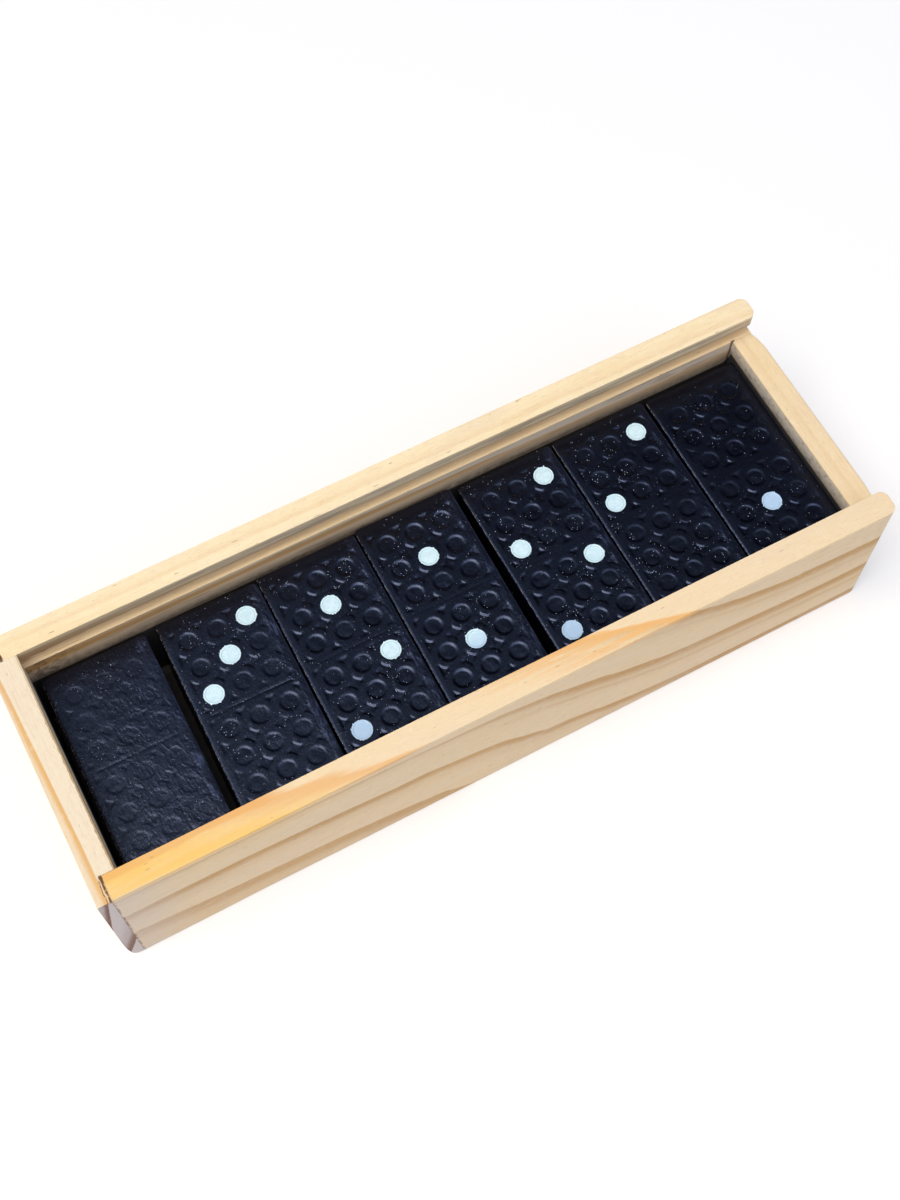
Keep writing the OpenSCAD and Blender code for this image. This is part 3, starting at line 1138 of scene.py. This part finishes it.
# %% Lacquer in the relief
def fill_in(mesh, crisp, line, turn):
    """Lowers the relief: crisp is how much is left of it, line the same at the middle."""
    for vert in mesh.vertices:
        x, y, z = vert.co
        if z > ON_FACE and from_rim(x, y) > 0.45:
            slow = noise.noise((x * 0.2 + turn * 9, y * 0.2, turn * 31))
            quick = noise.noise((x * 0.75, y * 0.75, turn * 13 + 5))
            here = max(0, min(1.3, crisp * (1 + 0.7 * slow + 0.5 * quick)))
            if abs(y) <= 0.4:
                here = line * (1 + noise.noise((x * 0.35, turn * 17, 0.5)))
            flat = TILE_THICK - 0.02 - rim_fall(x, y)
            vert.co.z = flat - (flat - z) * here


def dust_film(mesh, share):
    """Stores how dull each point is: less at the left and far edges, more at the right one."""
    film = mesh.attributes.new("film", "FLOAT", "POINT")
    for vert in mesh.vertices:
        x, y, _ = vert.co
        clean = 0.35 * smooth(x, -2, -9) + 0.35 * smooth(y, 8, 19)
        scuffed = smooth(x, 7.3, 8.5) if share > 0.2 else 0
        film.data[vert.index].value = share * (1 - clean) + scuffed


print("tools for tiles: fill_in, dust_film")

# %% [markdown]
# ## Laying the dominoes in
# The box holds all 28 tiles in four layers of seven. Each is a copy of the blank, moved
# to the middle of its CAD solid and turned as its stack is; its far half comes first in
# the pair. It moves with its own body, as it can be lifted out, and so does its paint.

# %% Dominoes
LAYERS = [
    "66 65 55 64 54 44 63", "53 43 33 62 52 42 32", "61 51 41 31 60 50 40",
    "00 30 12 11 22 20 01"]
# One row for each stack, from the left: its turn in degrees, how crisp its relief is,
# how deep its middle line is, and how thick its dull film is.
STACKS = [
    (-0.3, 0.27, 1.0, 1.0),
    (-0.8, 0.60, 1.3, 0.6),
    (-0.4, 0.8, 0.6, 0.5),
    (-0.4, 1.1, 0.4, 0.55),
    (0.75, 0.85, 0.2, 0.45),
    (0.55, 0.75, 0.2, 0.35),
    (0.1, 0.7, 0.1, 0.1)]


def lay(name, mesh, place, body, finish):
    """Puts a mesh made in millimetres in its place, on its own body."""
    mesh.transform(place)
    mesh.materials.append(finish)
    piece = bpy.data.objects.new(name, mesh)
    bpy.context.scene.collection.objects.link(piece)
    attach(piece, body)
    return piece


chance = random.Random(28)
for layer in LAYERS:
    for (turn, crisp, line, film), pair in zip(STACKS, layer.split()):
        far, near = int(pair[0]), int(pair[1])
        node = "domino_%d_%d" % (max(far, near), min(far, near))
        low, high = [Vector(corner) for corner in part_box(node)]
        middle = (low + high) / 2
        place = Matrix.Translation((middle.x, middle.y, low.z))
        place = place @ Matrix.Rotation(math.radians(turn), 4, "Z") @ Matrix.Scale(MM, 4)
        face = blank.copy()
        fill_in(face, crisp, line, turn)
        dust_film(face, film)
        tile = lay("tile_" + node[7:], face, place, node, black_lacquer)
        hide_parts(node)
        if far + near > 0:
            pips = pips_mesh("pips_" + node[7:], far, near, chance)
            fill_in(pips, crisp, line, turn)
            lay("pips_" + node[7:], pips, place, node, white_paint)
bpy.data.meshes.remove(blank)
print("laid", len(STACKS) * len(LAYERS), "dominoes")

# %% [markdown]
# ## A white floor
# The box stands on plain white paper that keeps its shadow. The paper adds a little
# light of its own, but only for rays that come from the camera, off a glossy surface or
# through a clear one, so it doesn't light the box. Far away it fades to pure white for
# the camera, so no horizon shows.

# %% Floor
bm = bmesh.new()
bmesh.ops.create_circle(bm, cap_ends=True, segments=64, radius=6)
floor_mesh = bpy.data.meshes.new("studio_floor")
bm.to_mesh(floor_mesh)
bm.free()
floor = bpy.data.objects.new("studio_floor", floor_mesh)
floor.location.z = -0.0002
bpy.context.scene.collection.objects.link(floor)
paper, shader = new_finish("white_paper")
to_camera = Wire.new("LightPath", outlet=0)
seen = to_camera.maths("MAXIMUM", Wire.new("LightPath", outlet=3))
seen = seen.maths("MAXIMUM", Wire.new("LightPath", outlet=6))
shader.inputs["Base Color"].default_value = rgb(0.81, 0.80, 0.795)
shader.inputs["Roughness"].default_value = 0.9
shader.inputs["Specular IOR Level"].default_value = 0.0


def blend(one, two, mask):
    """A Mix Shader: one where mask is 0, two where it is 1."""
    return Wire.new("MixShader", None, {0: mask, 1: one, 2: two})


bare = Wire(shader.outputs[0])
glow = Wire.new("Emission", None, {"Color": rgb(1, 1, 1), "Strength": 0.24})
white = Wire.new("Emission", None, {"Color": rgb(1, 1, 1), "Strength": 1.0})
lit = Wire.new("AddShader", None, {0: bare, 1: glow})
distance = Wire.new("VectorMath", {"operation": "LENGTH"}, {0: place_mm()}, outlet=1)
surface = blend(blend(bare, lit, seen), white, to_camera * rise(distance, 220, 700))
Wire.plug(Wire.bench.nodes["Material Output"].inputs["Surface"], surface)
floor_mesh.materials.append(paper)
print("the paper has", len(Wire.bench.nodes), "nodes")

# %% [markdown]
# ## A sky for each kind of ray
# Black lacquer shows what hangs over it. So glossy rays meet cool panels overhead that
# grow dimmer towards the far right and fade at the horizon, every other ray meets a
# weak, even sky that only fills the shadows, and the camera itself sees white.

# %% Sky
world = bpy.data.worlds.new("studio_sky")
bpy.context.scene.world = world
world.use_nodes = True
Wire.bench = world.node_tree
along, across, height = split(Wire.new("TexCoord", outlet=0))
camera_ray = Wire.new("LightPath", outlet=0)
glossy_ray = Wire.new("LightPath", outlet=3)
ahead = along * 0.6 + across * 0.8
panels = ((0.6 - ahead) * 2.1).maths("MAXIMUM", 0) + rise(ahead, 0.2, -0.15) * 1.6
panels = panels * rise(height, 0.05, 0.5)
cool = Wire.new("VectorMath", {"operation": "SCALE"}, {0: (0.57, 0.73, 0.94), 3: panels})
light = mix(rgb(0.306, 0.326, 0.394), cool, glossy_ray)
backdrop = world.node_tree.nodes["Background"]
Wire.plug(backdrop.inputs["Color"], mix(light, rgb(1, 1, 1), camera_ray))
print("the sky has", len(Wire.bench.nodes), "nodes")

# %% [markdown]
# ## Two soft lamps
# A warm key lamp high on the left lights the tops of the boards. A cooler, weaker and
# larger one in front keeps the near face from going dark. Round lamps of this size give
# shadows with wide soft edges.

# %% Lamps
def soft_lamp(name, way, far, size, watts, colour):
    """A round soft lamp, `far` metres away, looking back at the box."""
    light = bpy.data.lights.new(name, "AREA")
    light.shape = "DISK"
    light.size = size
    light.energy = watts
    light.color = colour
    lamp = bpy.data.objects.new(name, light)
    way = Vector(way).normalized()
    lamp.location = way * far
    lamp.rotation_euler = way.to_track_quat("Z", "Y").to_euler()
    bpy.context.scene.collection.objects.link(lamp)
    print(name, "at", [round(v, 2) for v in lamp.location])


soft_lamp("key_lamp", (-0.36, -0.07, 0.93), 1.2, 0.8, 9.2, (1.0, 0.95, 0.83))
soft_lamp("front_lamp", (0.12, -0.5, 0.86), 1.3, 1.2, 4.0, (0.93, 0.98, 1.10))
